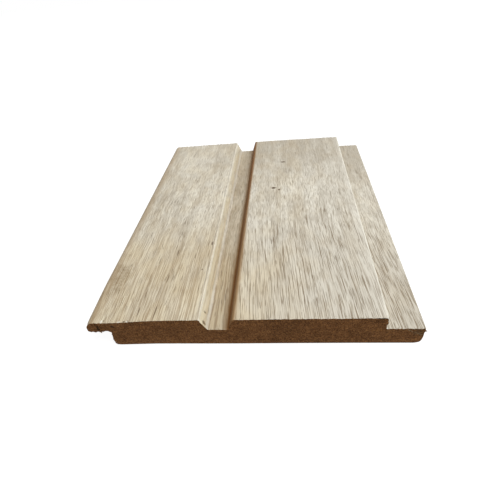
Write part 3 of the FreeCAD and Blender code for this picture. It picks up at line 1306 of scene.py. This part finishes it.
# %% Paint the planed back
BACK_CREAM, BACK_BUFF, BACK_BROWN = srgb(212, 196, 166), srgb(190, 170, 136), srgb(146, 118, 84)
BACK_BANDS = {"Width": 2.6, "Length": 80.0, "From": 0.38, "To": 0.66, "Seed": 3.0}
BACK_PATCHES = {"Width": 7.0, "Length": 30.0, "From": 0.40, "To": 0.68, "Seed": 5.0}
BACK_LINES = {"Width": 0.55, "Length": 34.0, "From": 0.48, "To": 0.64, "Seed": 11.0}
BACK_ROUGHNESS, BACK_SPECULAR = 0.75, 0.3
BACK_RELIEF = 0.05 * MM
BACK_TONE, BACK_LINE_DEPTH = 0.5, 0.5


def paint_back():
    tree, shader, place, grain = wood_tree(BACK)
    recipes = (BACK_BANDS, BACK_PATCHES, BACK_LINES)
    bands, patches, lines = [use_group(tree, STREAKS, Grain=grain, **recipe) for recipe in recipes]
    tone = times(tree, add(tree, bands, patches), BACK_TONE)
    colour = mix(tree, tone, BACK_CREAM, BACK_BUFF)
    colour = mix(tree, times(tree, lines, BACK_LINE_DEPTH), colour, BACK_BROWN)
    finish_wood(tree, shader, colour, BACK_ROUGHNESS, BACK_SPECULAR, lines, BACK_RELIEF)
    return tree


print(f"planed back: {len(paint_back().nodes)} nodes")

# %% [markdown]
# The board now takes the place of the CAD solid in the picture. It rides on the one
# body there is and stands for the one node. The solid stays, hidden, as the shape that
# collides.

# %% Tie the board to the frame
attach(board, BODY)
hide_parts(NODE)
print(f"{board.name}: rides on {BODY} and stands for {NODE}")

# %% [markdown]
# The photograph's background is plain white, yet the board needs a floor to lie on and
# to catch its shadow. One way to get both is a floor that is grey to the light, so that
# it doesn't throw too much of it back under the board, and nearly white to the
# camera. Light Path tells the rays apart. Glossy and transmitted rays see the white
# floor as well.

# %% The studio floor
STAGE_SIZE = 4.0
STAGE_GREY = (0.45, 0.45, 0.45, 1.0)
SHADOW_GREY = (0.25, 0.25, 0.25, 1.0)
STAGE_GLOW = 0.90


def seen_directly(tree):
    """A mask of the rays that show the backdrop: those from the camera, or off gloss or glass."""
    path = tree.nodes.new("ShaderNodeLightPath")
    either = calc(tree, "MAXIMUM", path.outputs["Is Camera Ray"], path.outputs["Is Glossy Ray"])
    return calc(tree, "MAXIMUM", either, path.outputs["Is Transmission Ray"])


def choose(tree, output, unseen, seen):
    """Ends a tree with one shader for the light's rays and another for those that are seen."""
    choice = tree.nodes.new("ShaderNodeMixShader")
    tree.links.new(seen_directly(tree), choice.inputs[0])
    tree.links.new(unseen.outputs[0], choice.inputs[1])
    tree.links.new(seen.outputs[0], choice.inputs[2])
    tree.links.new(choice.outputs[0], output.inputs["Surface"])


def studio_floor():
    bpy.ops.object.select_all(action="DESELECT")
    bpy.ops.mesh.primitive_plane_add(size=STAGE_SIZE)
    piece = bpy.context.object
    piece.name = "floor"
    material = bpy.data.materials.new("pale_floor")
    material.use_nodes = True
    piece.data.materials.append(material)
    tree = material.node_tree
    tree.nodes.clear()
    output = tree.nodes.new("ShaderNodeOutputMaterial")
    plain = tree.nodes.new("ShaderNodeBsdfDiffuse")
    plain.inputs["Color"].default_value = STAGE_GREY
    shaded = tree.nodes.new("ShaderNodeBsdfDiffuse")
    shaded.inputs["Color"].default_value = SHADOW_GREY
    glow = tree.nodes.new("ShaderNodeEmission")
    glow.inputs["Strength"].default_value = STAGE_GLOW
    seen = tree.nodes.new("ShaderNodeAddShader")
    tree.links.new(shaded.outputs[0], seen.inputs[0])
    tree.links.new(glow.outputs[0], seen.inputs[1])
    choose(tree, output, plain, seen)
    piece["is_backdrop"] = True
    return piece


print(f"floor: {studio_floor().dimensions.x:.0f} m across")

# %% [markdown]
# The light in the photograph is soft and comes from all round. A plain white world at
# half strength gives that, and to the camera the same world is pure white. It is set
# apart from the lamp, so that neither the fill nor the backdrop changes with the other.

# %% The world
AMBIENT = 0.5


def world():
    sky = bpy.data.worlds.new("studio")
    sky.use_nodes = True
    bpy.context.scene.world = sky
    tree = sky.node_tree
    tree.nodes.clear()
    output = tree.nodes.new("ShaderNodeOutputWorld")
    light = tree.nodes.new("ShaderNodeBackground")
    light.inputs["Strength"].default_value = AMBIENT
    seen = tree.nodes.new("ShaderNodeBackground")
    seen.inputs["Color"].default_value = (1.0, 1.0, 1.0, 1.0)
    choose(tree, output, light, seen)


world()
print(f"world: strength {AMBIENT}")

# %% [markdown]
# One lamp gives the picture its direction. It is high and to the right, so the
# channel's left slope catches it and the wall on the right stays dark, and a large
# disk keeps the edges of the shadows soft.

# %% The key light
KEY_PLACE = Vector((0.52, -0.12, 1.0))
KEY_SIZE = 0.7
KEY_POWER = 10.0


def key_light():
    data = bpy.data.lights.new("key", "AREA")
    data.shape = "DISK"
    data.size = KEY_SIZE
    data.energy = KEY_POWER
    lamp = bpy.data.objects.new("key", data)
    lamp.location = KEY_PLACE
    lamp.rotation_euler = (-KEY_PLACE).to_track_quat("-Z", "Y").to_euler()
    bpy.context.scene.collection.objects.link(lamp)


key_light()
print(f"key light: {KEY_POWER} W, {KEY_SIZE} m across")

# %% [markdown]
# Last come the plain view transform, which shows a colour as it was written, and the
# sizes. The solid's box and the visual board's box are printed side by side so that they
# can be compared. The visual board may stand proud of the solid's box by about 3% of
# each side.

# %% Finish
bpy.context.scene.view_settings.view_transform = "Standard"
visual_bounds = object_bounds()
sizes = {
    "cad": [list(corner) for corner in cad_bounds],
    "visual": [list(corner) for corner in visual_bounds],
}
for kind, corners in sizes.items():
    print(kind, [[round(value / MM, 2) for value in corner] for corner in corners])
